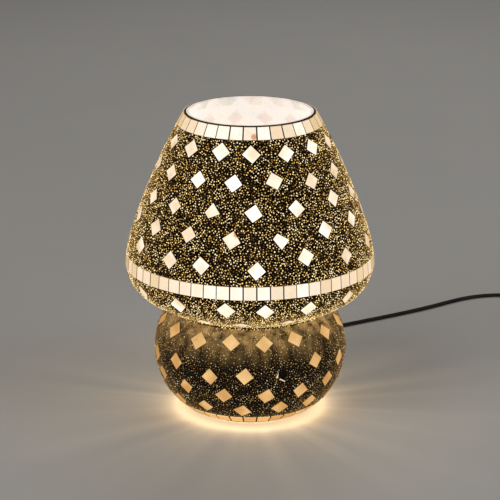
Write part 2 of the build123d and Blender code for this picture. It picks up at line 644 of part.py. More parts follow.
def rocker():
    """Rocker button with its two trunnions, tilted to ON."""
    half = 8.0
    crown = ((-half, 4.4), (0, 3.0), (half, 4.4), (half, 0.6))
    heel = ((3.5, -2.2), (-3.5, -2.2), (-half, 0.6))
    face = make_face(Polyline(*crown, *heel, close=True))
    button = extrude(Plane.XZ * face, 5.5, both=True)
    button += Rot(90, 0, 0) * Cylinder(TRUNNION_RADIUS, 14.4)
    return Pos(0, 0, ROCKER_PIVOT_HEIGHT) * Rot(0, ROCKER_TILT, 0) * button


def rocker_plunger():
    """Sprung pin under the rocker that flips the moving contact."""
    pin = cylinder(0.9, -6.0, -2.25) + Pos(0, 0, -6.0) * Sphere(0.9)
    pin &= Pos(0, 0, -6) * Box(10, 10, 7.5)
    return Pos(0, 0, ROCKER_PIVOT_HEIGHT) * Rot(0, ROCKER_TILT, 0) * pin


def moving_contact():
    """Brass see-saw blade that closes on the fixed contact when the rocker is ON."""
    blade = Box(15, 4, 0.6) - Pos(0, 0, -0.3) * Rot(90, 0, 0) * Cylinder(0.35, 6)
    blade += Pos(-CONTACT_REACH, 0, -0.6) * Cylinder(1.1, 0.8)
    return Pos(0, 0, CONTACT_PIVOT_HEIGHT) * Rot(0, -CONTACT_TILT, 0) * blade


def build_switch():
    place = SWITCH_PLACE
    floor = SWITCH_WALL
    keep("switch_base", place * switch_base())
    keep("switch_cover", place * switch_cover())
    keep("rocker_button", place * rocker())
    keep("rocker_plunger", place * rocker_plunger())
    keep("moving_contact", place * moving_contact())
    strip = floor + BRASS_STRIP / 2
    knife_height = CONTACT_PIVOT_HEIGHT - floor - BRASS_STRIP
    knife = Pos(0, 0, floor + knife_height / 2) * Box(0.6, BRASS_WIDTH, knife_height)
    common = Pos(5, 0, strip) * Box(12, BRASS_WIDTH, BRASS_STRIP)
    keep("common_contact", place * (knife + common))
    drop = CONTACT_REACH * math.sin(math.radians(CONTACT_TILT)) + 1.1
    anvil_top = CONTACT_PIVOT_HEIGHT - drop - 0.1
    anvil = Pos(-CONTACT_REACH, 0, (floor + anvil_top) / 2) * Box(2.6, BRASS_WIDTH, anvil_top - floor)
    fixed = Pos(-10, 0, strip) * Box(9, BRASS_WIDTH, BRASS_STRIP)
    keep("fixed_contact", place * (anvil + fixed))
    blocks = []
    for x in TERMINAL_SPOTS:
        block = Pos(x, 0, floor + 2.6) * Box(4.6, 4.6, 3.4)
        blocks.append(place * (block - Pos(x, 0, floor + 2.6) * Cylinder(1.0, 6)))
    keep("switch_terminals", *blocks)
    screws = []
    for x, y in SCREW_SPOTS:
        head = cylinder(2.3, 0.4, 2.1)
        shank = cylinder(1.2, 2.1, SWITCH_HEIGHT - 5)
        slot = Pos(0, 0, 0.4) * Box(5, 0.6, 1.4)
        screws.append(place * Pos(x, y, 0) * (head + shank - slot))
    keep("switch_screws", *screws)
    end = SWITCH_LENGTH / 2 - 3.5
    high = 7.5
    across = [(-15, 9.0, 5), (0, 9.8, 5), (15, 9.0, 5)]
    neutral = round_wire(
        WIRE_RADIUS, (-end, CORE_RADIUS, high), *across, (end, CORE_RADIUS, high),
        tangents=((0.9, 0.4, 0), (0.9, -0.4, 0)))
    level = ((1, 0, 0), (1, 0, 0))
    clamp = floor + 2.6
    live_in = round_wire(WIRE_RADIUS, (-end, -CORE_RADIUS, high), (-17, -1.4, clamp), tangents=level)
    live_out = round_wire(WIRE_RADIUS, (15, -1.4, clamp), (end, -CORE_RADIUS, high), tangents=level)
    keep("switch_wires", place * neutral, place * live_in, place * live_out)


# ------------------------------------------------------------------ plug
PLUG_PLACE = Pos(CORD_RUN_X, PLUG_Y, 0) * Rot(0, 0, -90)


def plug_body():
    """Flat two-pin plug, flaring from its cord end to its pin face."""
    half = PLUG_WIDTH / 2
    plan = make_face(Polyline(
        (0, -6.5), (12, -8.5), (24, -half), (PLUG_LENGTH, -half),
        (PLUG_LENGTH, half), (24, half), (12, 8.5), (0, 6.5), close=True))
    body = extrude(plan, PLUG_THICKNESS)
    body = fillet(body.edges().filter_by(Axis.Z), 2.2)
    body = fillet(body.faces().sort_by(Axis.Z)[-1].edges() + body.faces().sort_by(Axis.Z)[0].edges(), 1.8)
    for side in (-1, 1):
        pin = Pos(PLUG_LENGTH - 5, side * PIN_SPACING / 2, PLUG_THICKNESS / 2) * Rot(0, 90, 0)
        body -= pin * Cylinder(PIN_RADIUS + 0.02, 10.1)
    return body - Pos(0.5, 0, PLUG_THICKNESS / 2) * Box(3.2, 5.4, 2.9)


def plug_strain_relief():
    """Ribbed sleeve that keeps the flex from kinking at the plug."""
    middle = Pos(-RELIEF_LENGTH / 2, 0, PLUG_THICKNESS / 2)
    sleeve = middle * Rot(0, 90, 0) * Cone(3.6, 4.8, RELIEF_LENGTH - 0.1)
    for i in range(4):
        x = -3 - 3.6 * i
        sleeve += Pos(x, 0, PLUG_THICKNESS / 2) * Rot(0, 90, 0) * Cylinder(5.4 - 0.3 * i, 1.4)
    return sleeve - cord_notch(60, PLUG_THICKNESS / 2)


def build_plug():
    place = PLUG_PLACE
    middle = PLUG_THICKNESS / 2
    keep("plug_body", place * plug_body())
    keep("plug_strain_relief", place * plug_strain_relief())
    pins = []
    sleeves = []
    for side in (-1, 1):
        lane = place * Pos(PLUG_LENGTH, side * PIN_SPACING / 2, middle) * Rot(0, 90, 0)
        root = cylinder(PIN_RADIUS, -9.5, 0) + cylinder(PIN_NECK_RADIUS, 0, SLEEVE_LENGTH)
        tip = cylinder(PIN_RADIUS, SLEEVE_LENGTH, PIN_LENGTH)
        tip = chamfer(tip.edges().sort_by(Axis.Z)[-1], 0.7)
        pins.append(lane * (root + tip))
        sleeves.append(lane * ring(SLEEVE_RADIUS, PIN_NECK_RADIUS + 0.03, 0.02, SLEEVE_LENGTH - 0.02))
    keep("plug_pins", *pins)
    keep("pin_sleeves", *sleeves)


build_body()
build_stem()
build_holder()
build_bulb()
build_cord()
build_switch()
build_plug()

os.makedirs("parts", exist_ok=True)
for node, shape in NODES.items():
    export_step(shape, f"parts/{node}.step")
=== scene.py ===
import math

import bpy
import numpy as np
from mathutils import Euler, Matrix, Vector, noise
from mathutils.bvhtree import BVHTree


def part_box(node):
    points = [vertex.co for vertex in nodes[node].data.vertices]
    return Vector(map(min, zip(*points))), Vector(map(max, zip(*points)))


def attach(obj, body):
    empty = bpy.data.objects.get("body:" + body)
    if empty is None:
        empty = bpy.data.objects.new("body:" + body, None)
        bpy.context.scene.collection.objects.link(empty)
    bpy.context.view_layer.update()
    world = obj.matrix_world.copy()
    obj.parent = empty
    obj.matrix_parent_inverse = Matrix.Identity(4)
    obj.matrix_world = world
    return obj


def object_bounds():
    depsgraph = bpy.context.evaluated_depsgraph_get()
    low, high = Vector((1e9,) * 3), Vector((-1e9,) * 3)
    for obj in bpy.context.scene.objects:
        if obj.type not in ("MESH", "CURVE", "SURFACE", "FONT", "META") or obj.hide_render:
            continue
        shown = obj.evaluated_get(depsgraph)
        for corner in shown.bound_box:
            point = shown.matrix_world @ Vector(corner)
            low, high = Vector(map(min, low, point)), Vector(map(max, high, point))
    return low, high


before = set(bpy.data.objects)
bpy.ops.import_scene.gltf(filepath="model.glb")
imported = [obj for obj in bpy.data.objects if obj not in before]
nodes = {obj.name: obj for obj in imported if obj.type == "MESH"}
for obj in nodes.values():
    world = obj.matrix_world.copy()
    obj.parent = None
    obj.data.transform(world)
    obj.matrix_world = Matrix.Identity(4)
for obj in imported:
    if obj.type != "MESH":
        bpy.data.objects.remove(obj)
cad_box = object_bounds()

# The looks of the mosaic glass table lamp, lit from inside. Metres, in the frame of the CAD model.
# The glass beads set in the grout, the bulb's support wires and the glass chips are made here.
# Everything else is a CAD node that gets a finish.

MM = 0.001

# ------------------------------------------------------------------ driving values
BEAD_STRETCH = (1.0, 1.7)         # length over width: round seeds and short bugles
BEAD_HEIGHT = 0.6                 # of the bead's radius, above the grout
BEAD_SIDES = 6
BEAD_SEED = 20
BEAD_CANDIDATES = 3.2             # tries per square of the spacing
BEAD_CLUMP = 7 * MM               # size of the brighter and darker patches
GLASS_GAP = 1.2 * MM              # from any face of the glass: nearer grout is its inner side
BEADS = {                         # spacing is the least one, and clear names what the beads keep off
    "shade": {
        "spacing": 1.50 * MM,
        "radius": (0.42 * MM, 0.74 * MM),
        "clear": ("top_band_tiles", "middle_band_tiles", "shade_diamond_tiles", "skirt_diamond_tiles"),
        "levels": (               # share of the beads, colour, glow
            (0.16, (1.00, 0.80, 0.44), 1.30),
            (0.30, (1.00, 0.70, 0.27), 1.10),
            (0.27, (1.00, 0.60, 0.15), 0.62),
            (0.16, (1.00, 0.52, 0.11), 0.22),
            (0.11, (1.00, 0.50, 0.12), 0.05),
        ),
    },
    "globe": {
        "spacing": 1.50 * MM,
        "radius": (0.34 * MM, 0.60 * MM),
        "clear": ("globe_diamond_tiles", "foot_band_tiles", "cord_grommet", "lamp_cord"),
        "levels": (
            (0.07, (1.00, 0.76, 0.38), 0.72),
            (0.23, (1.00, 0.66, 0.24), 0.44),
            (0.30, (1.00, 0.58, 0.16), 0.25),
            (0.23, (1.00, 0.52, 0.12), 0.10),
            (0.17, (1.00, 0.52, 0.16), 0.02),
        ),
    },
}
LOST_TILE = (0.052, 19.0)         # height and azimuth of the globe tile that has fallen out
LOST_TILE_BARE = 4.2 * MM         # no beads nearer than this to its middle
LOST_TILE_CHIPS = (               # what is left of it: outlines in mm, level and up, from its middle
    ((-5.4, -1.8), (-3.5, -2.4), (-3.1, 2.4)),
    ((-2.4, -3.6), (2.2, -6.2), (2.6, -5.4), (-1.8, -2.8)),
)

SEAM_REACH = (-0.04, 0.040)       # how far smeared grout reaches over a band tile, of its width
SEAM_BLUR = 0.03

GHOST_ROW = 0.2285                # height of the first row of diamonds behind the glass, painted as shade in its glow
GHOST_ROWS_APART = 0.02025
GHOSTS_PER_ROW = 15

WIRE_RADIUS = 0.18 * MM           # support wires in the bulb
WIRE_OVERSHOOT = 1.5 * MM         # how far a wire rises past the end of its filament
STICK_INSET = 1.0 * MM            # a filament's middle, in from the outside of the ring of four

FLOOR_HALF = 20.0
FLOOR_GAP = 0.2 * MM              # keeps the floor from coinciding with the foot
GLOW_WARMTH = (1.0, 0.74, 0.44)
GLOW_NEAR = (0.62, 0.009)         # strength and reach of the light that leaks out round the foot
GLOW_BROAD = (0.45, 0.07)         # and of the light from the globe

CAMERA_DISTANCE = 1.81            # from the middle of the lamp
CAMERA_PITCH = 17.06              # degrees below the horizontal
CAMERA_LENS = 160.9
CAMERA_HEIGHT = 0.6634


# ------------------------------------------------------------------ node helpers
def add(tree, kind, inputs=None, **properties):
    """Adds a shader node. An input's value may be a socket, and is then linked."""
    made = tree.nodes.new(kind)
    for name, value in properties.items():
        setattr(made, name, value)
    for name, value in (inputs or {}).items():
        if isinstance(value, bpy.types.NodeSocket):
            tree.links.new(value, made.inputs[name])
        else:
            made.inputs[name].default_value = value
    return made


def feed(tree, bsdf, **inputs):
    """Sets or links inputs of the Principled node; an underscore stands for a space."""
    for name, value in inputs.items():
        socket = bsdf.inputs[name.replace("_", " ")]
        if isinstance(value, bpy.types.NodeSocket):
            tree.links.new(value, socket)
        else:
            socket.default_value = value


def rgba(colour):
    return (*colour, 1.0)


def tile_count(name):
    """How many tiles a CAD node holds, at twelve triangles a tile."""
    return len(nodes[name].data.polygons) // 12


def new_material(name):
    material = bpy.data.materials.new(name)
    material.use_nodes = True
    tree = material.node_tree
    return material, tree, tree.nodes["Principled BSDF"]


def position(tree, stretch=(1.0, 1.0, 1.0)):
    """Where a shaded point is in the model's frame, with each axis scaled."""
    coordinates = add(tree, "ShaderNodeTexCoord").outputs["Object"]
    return add(tree, "ShaderNodeMapping", {"Vector": coordinates, "Scale": stretch}).outputs[0]


def grain(tree, size, detail=3.0, roughness=0.55, stretch=(1.0, 1.0, 1.0)):
    """Noise, 0 to 1, whose lumps are about size metres across."""
    return add(tree, "ShaderNodeTexNoise", {
        "Vector": position(tree, stretch), "Scale": 1.0 / size, "Detail": detail, "Roughness": roughness,
    }).outputs[0]


def span(tree, value, low, high, to_low=0.0, to_high=1.0):
    """Maps low..high of a value to to_low..to_high, clamped."""
    return add(tree, "ShaderNodeMapRange", {
        "Value": value, "From Min": low, "From Max": high, "To Min": to_low, "To Max": to_high,
    }).outputs[0]


def maths(tree, operation, a, b=0.0):
    return add(tree, "ShaderNodeMath", {0: a, 1: b}, operation=operation).outputs[0]


def hypotenuse(tree, a, b):
    squares = maths(tree, "ADD", maths(tree, "MULTIPLY", a, a), maths(tree, "MULTIPLY", b, b))
    return maths(tree, "SQRT", squares)


def blend_colours(tree, factor, a, b):
    made = add(tree, "ShaderNodeMix", data_type="RGBA")
    for index, value in ((0, factor), (6, a), (7, b)):
        if isinstance(value, bpy.types.NodeSocket):
            tree.links.new(value, made.inputs[index])
        else:
            made.inputs[index].default_value = value if index == 0 else rgba(value)
    return made.outputs[2]


def bump(tree, height, strength, depth):
    return add(tree, "ShaderNodeBump", {
        "Height": height, "Strength": strength, "Distance": depth,
    }).outputs[0]


def facing(tree):
    """1 where the surface faces the eye, 0 at its outline."""
    edge = add(tree, "ShaderNodeLayerWeight", {"Blend": 0.5}).outputs["Facing"]
    return maths(tree, "SUBTRACT", 1.0, edge)


def around(tree):
    """The lamp's own coordinates of a point: azimuth from the front (radians), radius and height."""
    x, y, z = add(tree, "ShaderNodeSeparateXYZ", {0: position(tree)}).outputs
    azimuth = maths(tree, "ARCTAN2", x, maths(tree, "MULTIPLY", y, -1.0))
    return azimuth, hypotenuse(tree, x, y), z


def side_wall(tree):
    """1 on the sides of a tile that look round the lamp, 0 on its face."""
    level = add(tree, "ShaderNodeVectorMath", {0: (0, 0, 1), 1: position(tree)}, operation="CROSS_PRODUCT")
    level = add(tree, "ShaderNodeVectorMath", {0: level.outputs[0]}, operation="NORMALIZE").outputs[0]
    normal = add(tree, "ShaderNodeNewGeometry").outputs["True Normal"]
    dot = add(tree, "ShaderNodeVectorMath", {0: normal, 1: level}, operation="DOT_PRODUCT").outputs["Value"]
    return span(tree, maths(tree, "ABSOLUTE", dot), 0.3, 0.4)


def own_chance(tree, count):
    """A number from 0 to 1 of each tile's own, by its place in a band of count, or else by where it is."""
    if count is None:
        return span(tree, grain(tree, 16 * MM, 1.0), 0.35, 0.65)
    azimuth = around(tree)[0]
    place = maths(tree, "FLOOR", maths(tree, "ADD", maths(tree, "MULTIPLY", azimuth, count / math.tau), 0.5))
    return add(tree, "ShaderNodeTexWhiteNoise", {"W": place}, noise_dimensions="1D").outputs["Value"]


def seam_smear(tree, count):
    """1 where grout has smeared over the seams of a band of tiles, wider at some seams than at others."""
    turn = maths(tree, "MULTIPLY", around(tree)[0], count / math.tau)
    chance = add(tree, "ShaderNodeTexWhiteNoise", {
        "W": maths(tree, "ADD", maths(tree, "FLOOR", turn), 0.37),
    }, noise_dimensions="1D").outputs["Value"]
    apart = maths(tree, "ABSOLUTE", maths(tree, "SUBTRACT", maths(tree, "FRACT", turn), 0.5))
    reach = span(tree, chance, 0.25, 1.0, *SEAM_REACH)
    return span(tree, maths(tree, "SUBTRACT", apart, reach), 0.0, SEAM_BLUR, 1.0, 0.0)


def distance_from(tree, azimuth, height):
    """How far a point of the lamp's outside is from the place at an azimuth and a height."""
    turn, radius, level = around(tree)
    across = maths(tree, "MULTIPLY", maths(tree, "SUBTRACT", turn, math.radians(azimuth)), radius)
    return hypotenuse(tree, across, maths(tree, "SUBTRACT", level, height))


def darker(tree, colour, amount):
    """A colour with an amount of it taken away: lit glass shows little of the light that falls on it."""
    return blend_colours(tree, amount, colour, (0.0, 0.0, 0.0))


# ------------------------------------------------------------------ finishes
def grout_finish(name, coat, coat_ior, glow, haze=None):
    """Black cement, slightly sandy, in a clear top coat. Light creeps round its outline, and haze is the
    heights between which the coat carries streaks of light from above."""
    material, tree, bsdf = new_material(name)
    mottle = grain(tree, 9 * MM, 4.0)
    sand = grain(tree, 0.5 * MM, 2.0)
    dark = blend_colours(tree, span(tree, mottle, 0.35, 0.7), (0.005, 0.0035, 0.0025), (0.024, 0.015, 0.008))
    colour = blend_colours(tree, span(tree, sand, 0.62, 0.8, 0.0, 0.5), dark, (0.13, 0.085, 0.035))
    outline = maths(tree, "POWER", maths(tree, "SUBTRACT", 1.0, facing(tree)), 5.0)
    light = maths(tree, "MULTIPLY", outline, glow)
    if haze:
        azimuth, radius, height = around(tree)
        streak = add(tree, "ShaderNodeTexNoise", {
            "Vector": position(tree, (1.0, 1.0, 0.12)), "Scale": 1.0 / (7 * MM), "Detail": 2.0,
        }).outputs[0]
        rise = maths(tree, "POWER", span(tree, height, *haze), 1.5)
        veil = maths(tree, "MULTIPLY", rise, span(tree, streak, 0.35, 0.75, 0.05, 0.6))
        light = maths(tree, "ADD", light, maths(tree, "MULTIPLY", veil, span(tree, sand, 0.3, 0.7, 0.7, 1.2)))
    feed(tree, bsdf, Base_Color=colour, Roughness=span(tree, sand, 0.3, 0.7, 0.45, 0.7),
         Normal=bump(tree, sand, 0.5, 0.15 * MM), Coat_Weight=coat, Coat_Roughness=0.2, Coat_IOR=coat_ior,
         Emission_Color=rgba((1.0, 0.58, 0.20)), Emission_Strength=light)
    material.cycles.emission_sampling = "NONE"
    return material


def tile_finish(name, light, warm, stain, strength, edge, count=None, burnt=None):
    """Stained glass lit from behind: each tile has its own tint, with wisps and a few brown veins, and
    painted
    light towards its outline: warmer, with its glow falling to edge of it. One may be burnt, at an azimuth
    and a height."""
    material, tree, bsdf = new_material(name)
    own = own_chance(tree, count)
    wisps = grain(tree, 6 * MM, 4.0, 0.6, (1.0, 1.0, 0.45))
    fine = grain(tree, 1.3 * MM, 3.0)
    # Painted light: where a tile is seen at a slant, towards its outline, its colour turns warmer.
    turned = maths(tree, "SUBTRACT", 1.0, facing(tree))
    tint = maths(tree, "ADD", maths(tree, "MULTIPLY", own, 0.6), maths(tree, "MULTIPLY", turned, 0.9))
    colour = blend_colours(tree, span(tree, tint, 0.15, 1.1), light, warm)
    colour = blend_colours(tree, span(tree, wisps, 0.45, 0.72, 0.0, 0.55), colour, warm)
    veins = span(tree, grain(tree, 4 * MM, 5.0, 0.75), 0.62, 0.76, 0.0, 0.6)
    colour = blend_colours(tree, veins, colour, stain)
    if burnt:
        apart = maths(tree, "ADD", distance_from(tree, *burnt), maths(tree, "MULTIPLY", fine, 3 * MM))
        colour = blend_colours(tree, span(tree, apart, 3 * MM, 4.5 * MM, 0.85, 0.0), colour, BURNT)
    level = span(tree, own, 0.0, 1.0, 1.15, 0.85)
    level = maths(tree, "MULTIPLY", level, span(tree, fine, 0.3, 0.7, 0.92, 1.08))
    # Painted light: the glow weakens towards the outline, to edge of its strength.
    level = maths(tree, "MULTIPLY", level, span(tree, turned, 0.0, 1.0, 1.0, edge))
    level = maths(tree, "MULTIPLY", level, span(tree, side_wall(tree), 0.0, 1.0, strength, 0.03))
    if count is not None:
        smear = seam_smear(tree, count)
        colour = blend_colours(tree, smear, colour, SMEAR)
        level = maths(tree, "MULTIPLY", level, span(tree, smear, 0.0, 1.0, 1.0, 0.2))
    feed(tree, bsdf, Base_Color=darker(tree, colour, 0.65), Roughness=span(tree, fine, 0.3, 0.7, 0.12, 0.3),
         Normal=bump(tree, wisps, 0.25, 0.25 * MM), Coat_Weight=0.4, Coat_Roughness=0.08,
         Emission_Color=colour, Emission_Strength=level)
    material.cycles.emission_sampling = "NONE"
    return material


def bead_finish(name, colour, glow):
    """A glass seed that carries the lamp's light; its own wall is slightly rough."""
    material, tree, bsdf = new_material(name)
    wall = grain(tree, 0.35 * MM, 2.0)
    feed(tree, bsdf, Base_Color=rgba([0.12 * c for c in colour]),
         Roughness=span(tree, wall, 0.3, 0.7, 0.12, 0.35), Normal=bump(tree, wall, 0.3, 0.1 * MM), IOR=1.52,
         Emission_Color=rgba(colour), Emission_Strength=glow)
    material.cycles.emission_sampling = "NONE"
    return material


def lit_glass_finish():
    """The blown body seen from inside: frosted, flooded with light, with the tiles behind it painted in as
    faint patches of shade.
    """
    material, tree, bsdf = new_material("lit_frosted_glass")
    azimuth, radius, height = around(tree)
    cloud = grain(tree, 12 * MM, 4.0)
    freckle = span(tree, grain(tree, 1.6 * MM, 2.0), 0.58, 0.7, 0.0, 0.5)
    # Painted shade: the tiles of the top band and the rows of diamonds, behind the glass, darken its glow in
    # patches.
    band_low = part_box("top_band_tiles")[0].z + 1.5 * MM
    above = span(tree, height, band_low, band_low + 2 * MM)
    in_band = maths(tree, "MULTIPLY", above, span(tree, cloud, 0.38, 0.55))
    chance = own_chance(tree, tile_count("top_band_tiles"))
    row = maths(tree, "DIVIDE", maths(tree, "SUBTRACT", height, GHOST_ROW), GHOST_ROWS_APART)
    turn = maths(tree, "MULTIPLY", azimuth, GHOSTS_PER_ROW / math.tau)
    turn = maths(tree, "ADD", turn, maths(tree, "MULTIPLY", maths(tree, "ROUND", row), 0.5))
    up = maths(tree, "MULTIPLY", maths(tree, "PINGPONG", row, 0.5), GHOST_ROWS_APART)
    apart = maths(tree, "MULTIPLY", radius, math.tau / GHOSTS_PER_ROW)
    across = maths(tree, "MULTIPLY", maths(tree, "PINGPONG", turn, 0.5), apart)
    diamond = span(tree, maths(tree, "ADD", up, across), 5.5 * MM, 8.5 * MM, 1.0, 0.0)
    tint = blend_colours(tree, span(tree, cloud, 0.35, 0.65), (1.0, 0.94, 0.89), (1.0, 0.88, 0.77))
    tint = blend_colours(tree, maths(tree, "MULTIPLY", diamond, 0.6), tint, (0.86, 0.68, 0.60))
    band_tile_shade = blend_colours(tree, chance, (0.66, 0.64, 0.55), (1.0, 0.86, 0.76))
    tint = blend_colours(tree, maths(tree, "MULTIPLY", in_band, 0.75), tint, band_tile_shade)
    tint = blend_colours(tree, maths(tree, "MULTIPLY", freckle, cloud), tint, (0.50, 0.42, 0.30))
    feed(tree, bsdf, Base_Color=darker(tree, tint, 0.85), Roughness=0.35,
         Normal=bump(tree, cloud, 0.2, 0.3 * MM),
         Emission_Color=tint, Emission_Strength=span(tree, cloud, 0.3, 0.7, 0.76, 0.90))
    material.cycles.emission_sampling = "NONE"
    return material


def moulded_finish(name, colour, roughness, grain_size=0.4 * MM, depth=0.04 * MM, coat=0.0):
    """Moulded plastic or rubber: fine spark-eroded grain, and hardly visible shading in its colour."""
    material, tree, bsdf = new_material(name)
    broad = grain(tree, 14 * MM, 4.0)
    fine = grain(tree, grain_size, 2.0)
    lighter = [min(1.0, 1.3 * c + 0.006) for c in colour]
    feed(tree, bsdf, Base_Color=blend_colours(tree, span(tree, broad, 0.35, 0.65), colour, lighter),
         Roughness=span(tree, broad, 0.3, 0.7, roughness - 0.06, roughness + 0.08),
         Normal=bump(tree, fine, 0.35, depth), Coat_Weight=coat, Coat_Roughness=0.1)
    return material


def metal_finish(name, colour, roughness, tarnish, brush=(1.0, 1.0, 12.0)):
    """Plated or rolled metal: brush marks round the part, and darker, duller patches."""
    material, tree, bsdf = new_material(name)
    marks = grain(tree, 2 * MM, 3.0, 0.5, brush)
    patch = grain(tree, 7 * MM, 5.0, 0.6)
    feed(tree, bsdf, Base_Color=blend_colours(tree, span(tree, patch, 0.45, 0.75, 0.0, 0.7), colour, tarnish),
         Metallic=0.8, Roughness=span(tree, marks, 0.3, 0.7, roughness - 0.07, roughness + 0.12),
         Normal=bump(tree, marks, 0.2, 0.03 * MM))
    return material


def glazed_finish():
    """Porcelain under a clear glaze, with faint specks."""
    material, tree, bsdf = new_material("glazed_porcelain")
    specks = span(tree, grain(tree, 1.1 * MM, 2.0), 0.66, 0.74, 0.0, 0.5)
    feed(tree, bsdf, Base_Color=blend_colours(tree, specks, (0.86, 0.83, 0.76), (0.5, 0.44, 0.34)),
         Roughness=0.2, Normal=bump(tree, grain(tree, 5 * MM), 0.1, 0.1 * MM), Coat_Weight=1.0)
    return material


def clear_finish(name, colour, clearness, roughness, glow=0.0):
    """Clear glass or silicone: a glossy coat over whatever is behind it."""
    material, tree, bsdf = new_material(name)
    ripple = grain(tree, 8 * MM, 2.0)
    feed(tree, bsdf, Base_Color=rgba(colour), Roughness=roughness, Normal=bump(tree, ripple, 0.1, 0.1 * MM),
         Emission_Color=rgba(colour), Emission_Strength=glow)
    through = add(tree, "ShaderNodeBsdfTransparent", {"Color": rgba(colour)})
    mix = add(tree, "ShaderNodeMixShader", {0: clearness})
    tree.links.new(bsdf.outputs[0], mix.inputs[1])
    tree.links.new(through.outputs[0], mix.inputs[2])
    tree.links.new(mix.outputs[0], tree.nodes["Material Output"].inputs["Surface"])
    material.cycles.emission_sampling = "NONE"
    return material


def filament_finish():
    """Phosphor on the filament sticks: yellow, glowing, and grainy."""
    material, tree, bsdf = new_material("phosphor")
    powder = grain(tree, 0.5 * MM, 3.0)
    colour = blend_colours(tree, powder, (1.0, 0.62, 0.2), (1.0, 0.85, 0.45))
    feed(tree, bsdf, Base_Color=colour, Roughness=0.8, Normal=bump(tree, powder, 0.6, 0.1 * MM),
         Emission_Color=colour, Emission_Strength=6.0)
    material.cycles.emission_sampling = "NONE"
    return material


CREAM = (1.0, 0.92, 0.82)
BAND_CREAM = (1.0, 0.90, 0.80)
PEACH = (1.0, 0.73, 0.44)
BAND_PEACH = (1.0, 0.71, 0.38)
# Painted shade: the globe's tiles are the same glass as the shade's, and these warmer, darker colours stand
# for the weaker light that reaches the globe.
DIMLY_LIT_CREAM = (1.0, 0.67, 0.30)
DIMLY_LIT_PEACH = (1.0, 0.51, 0.15)
STAIN = (0.50, 0.30, 0.12)
SMEAR = (0.20, 0.11, 0.04)
BURNT = (0.66, 0.27, 0.08)

finishes = {
    "shade_grout": grout_finish("shade_grout_finish", 0.1, 1.7, 0.4),
    "globe_grout": grout_finish("globe_grout_finish", 0.7, 1.75, 0.3, (0.056, 0.084)),
    "shade_tiles": tile_finish("shade_tile_glass", CREAM, PEACH, STAIN, 1.12, 0.7, burnt=(-6.9, 0.1715)),
    "top_tiles": tile_finish("top_band_glass", BAND_CREAM, BAND_PEACH, STAIN, 0.95, 0.85,
                             tile_count("top_band_tiles"), burnt=(3.2, 0.2410)),
    "middle_tiles": tile_finish("middle_band_glass", BAND_CREAM, BAND_PEACH, STAIN, 1.0, 0.8,
                                tile_count("middle_band_tiles")),
    "skirt_tiles": tile_finish("skirt_tile_glass", CREAM, PEACH, STAIN, 1.2, 0.75),
    # Painted shade: the globe's tiles, the chips and the foot band glow weaker and in warmer, darker colours
    # than the same glass on the shade, for the dimmer light down there.
    "globe_tiles": tile_finish("globe_tile_glass", DIMLY_LIT_CREAM, DIMLY_LIT_PEACH, STAIN, 0.72, 0.8),
    "chips": tile_finish("tile_chip_glass", (1.0, 0.80, 0.52), DIMLY_LIT_CREAM, STAIN, 0.7, 0.9),
    "foot_tiles": tile_finish("foot_tile_glass", DIMLY_LIT_CREAM, DIMLY_LIT_PEACH, STAIN, 0.85, 0.8,
                              tile_count("foot_band_tiles")),
    "lit_glass": lit_glass_finish(),
    "rim_black": moulded_finish("rim_sealing_bead", (0.012, 0.009, 0.007), 0.3, 1.5 * MM, 0.2 * MM, 0.6),
    "silicone": clear_finish("clear_silicone", (0.95, 0.88, 0.75), 0.45, 0.3, 0.35),
    "zinc": metal_finish("zinc_plate", (0.66, 0.65, 0.62), 0.34, (0.42, 0.40, 0.36)),
    "brass": metal_finish("rolled_brass", (0.82, 0.60, 0.24), 0.3, (0.48, 0.32, 0.12)),
    "bulb_metal": metal_finish("rolled_bulb_cap", (0.80, 0.79, 0.76), 0.25, (0.55, 0.53, 0.50)),
    "nickel": metal_finish("nickel_plate", (0.78, 0.75, 0.70), 0.2, (0.50, 0.46, 0.40), (1.0, 12.0, 1.0)),
    "black_plastic": moulded_finish("black_moulding", (0.030, 0.030, 0.031), 0.42),
    "switch_plastic": moulded_finish("switch_moulding", (0.036, 0.036, 0.038), 0.36),
    "rocker_plastic": moulded_finish("rocker_moulding", (0.075, 0.075, 0.078), 0.22, 0.8 * MM, 0.02 * MM,
                                     0.5),
    "porcelain": glazed_finish(),
    "bulb_glass": clear_finish("bulb_glass_clear", (1.0, 0.90, 0.70), 0.80, 0.05, 0.9),
    "vitrite": moulded_finish("black_vitrite", (0.010, 0.010, 0.020), 0.15, 2 * MM, 0.03 * MM, 1.0),
    "filament": filament_finish(),
    "cord": moulded_finish("cord_pvc_finish", (0.030, 0.025, 0.021), 0.34, 0.7 * MM, 0.03 * MM, 0.3),
    "wire": moulded_finish("wire_insulation", (0.30, 0.12, 0.035), 0.35),
    "rubber": moulded_finish("grommet_rubber", (0.018, 0.017, 0.016), 0.6),
}
FINISH_OF_NODE = {
    "shade_grout": "shade_grout", "globe_grout": "globe_grout", "glass_body": "lit_glass",
    "top_band_tiles": "top_tiles", "middle_band_tiles": "middle_tiles", "foot_band_tiles": "foot_tiles",
    "shade_diamond_tiles": "shade_tiles", "skirt_diamond_tiles": "skirt_tiles",
    "globe_diamond_tiles": "globe_tiles", "rim_cap": "rim_black",
}
FINISH_OF_SLOT = {
    "silicone": "silicone", "zinc_steel": "zinc", "brass": "brass", "black_plastic": "black_plastic",
    "switch_plastic": "switch_plastic", "rocker_plastic": "rocker_plastic", "porcelain": "porcelain",
    "bulb_glass": "bulb_glass", "bulb_metal": "bulb_metal", "bulb_black_glass": "vitrite",
    "filament": "filament", "cord_pvc": "cord", "wire_pvc": "wire", "nickel": "nickel",
    "rubber_black": "rubber",
}


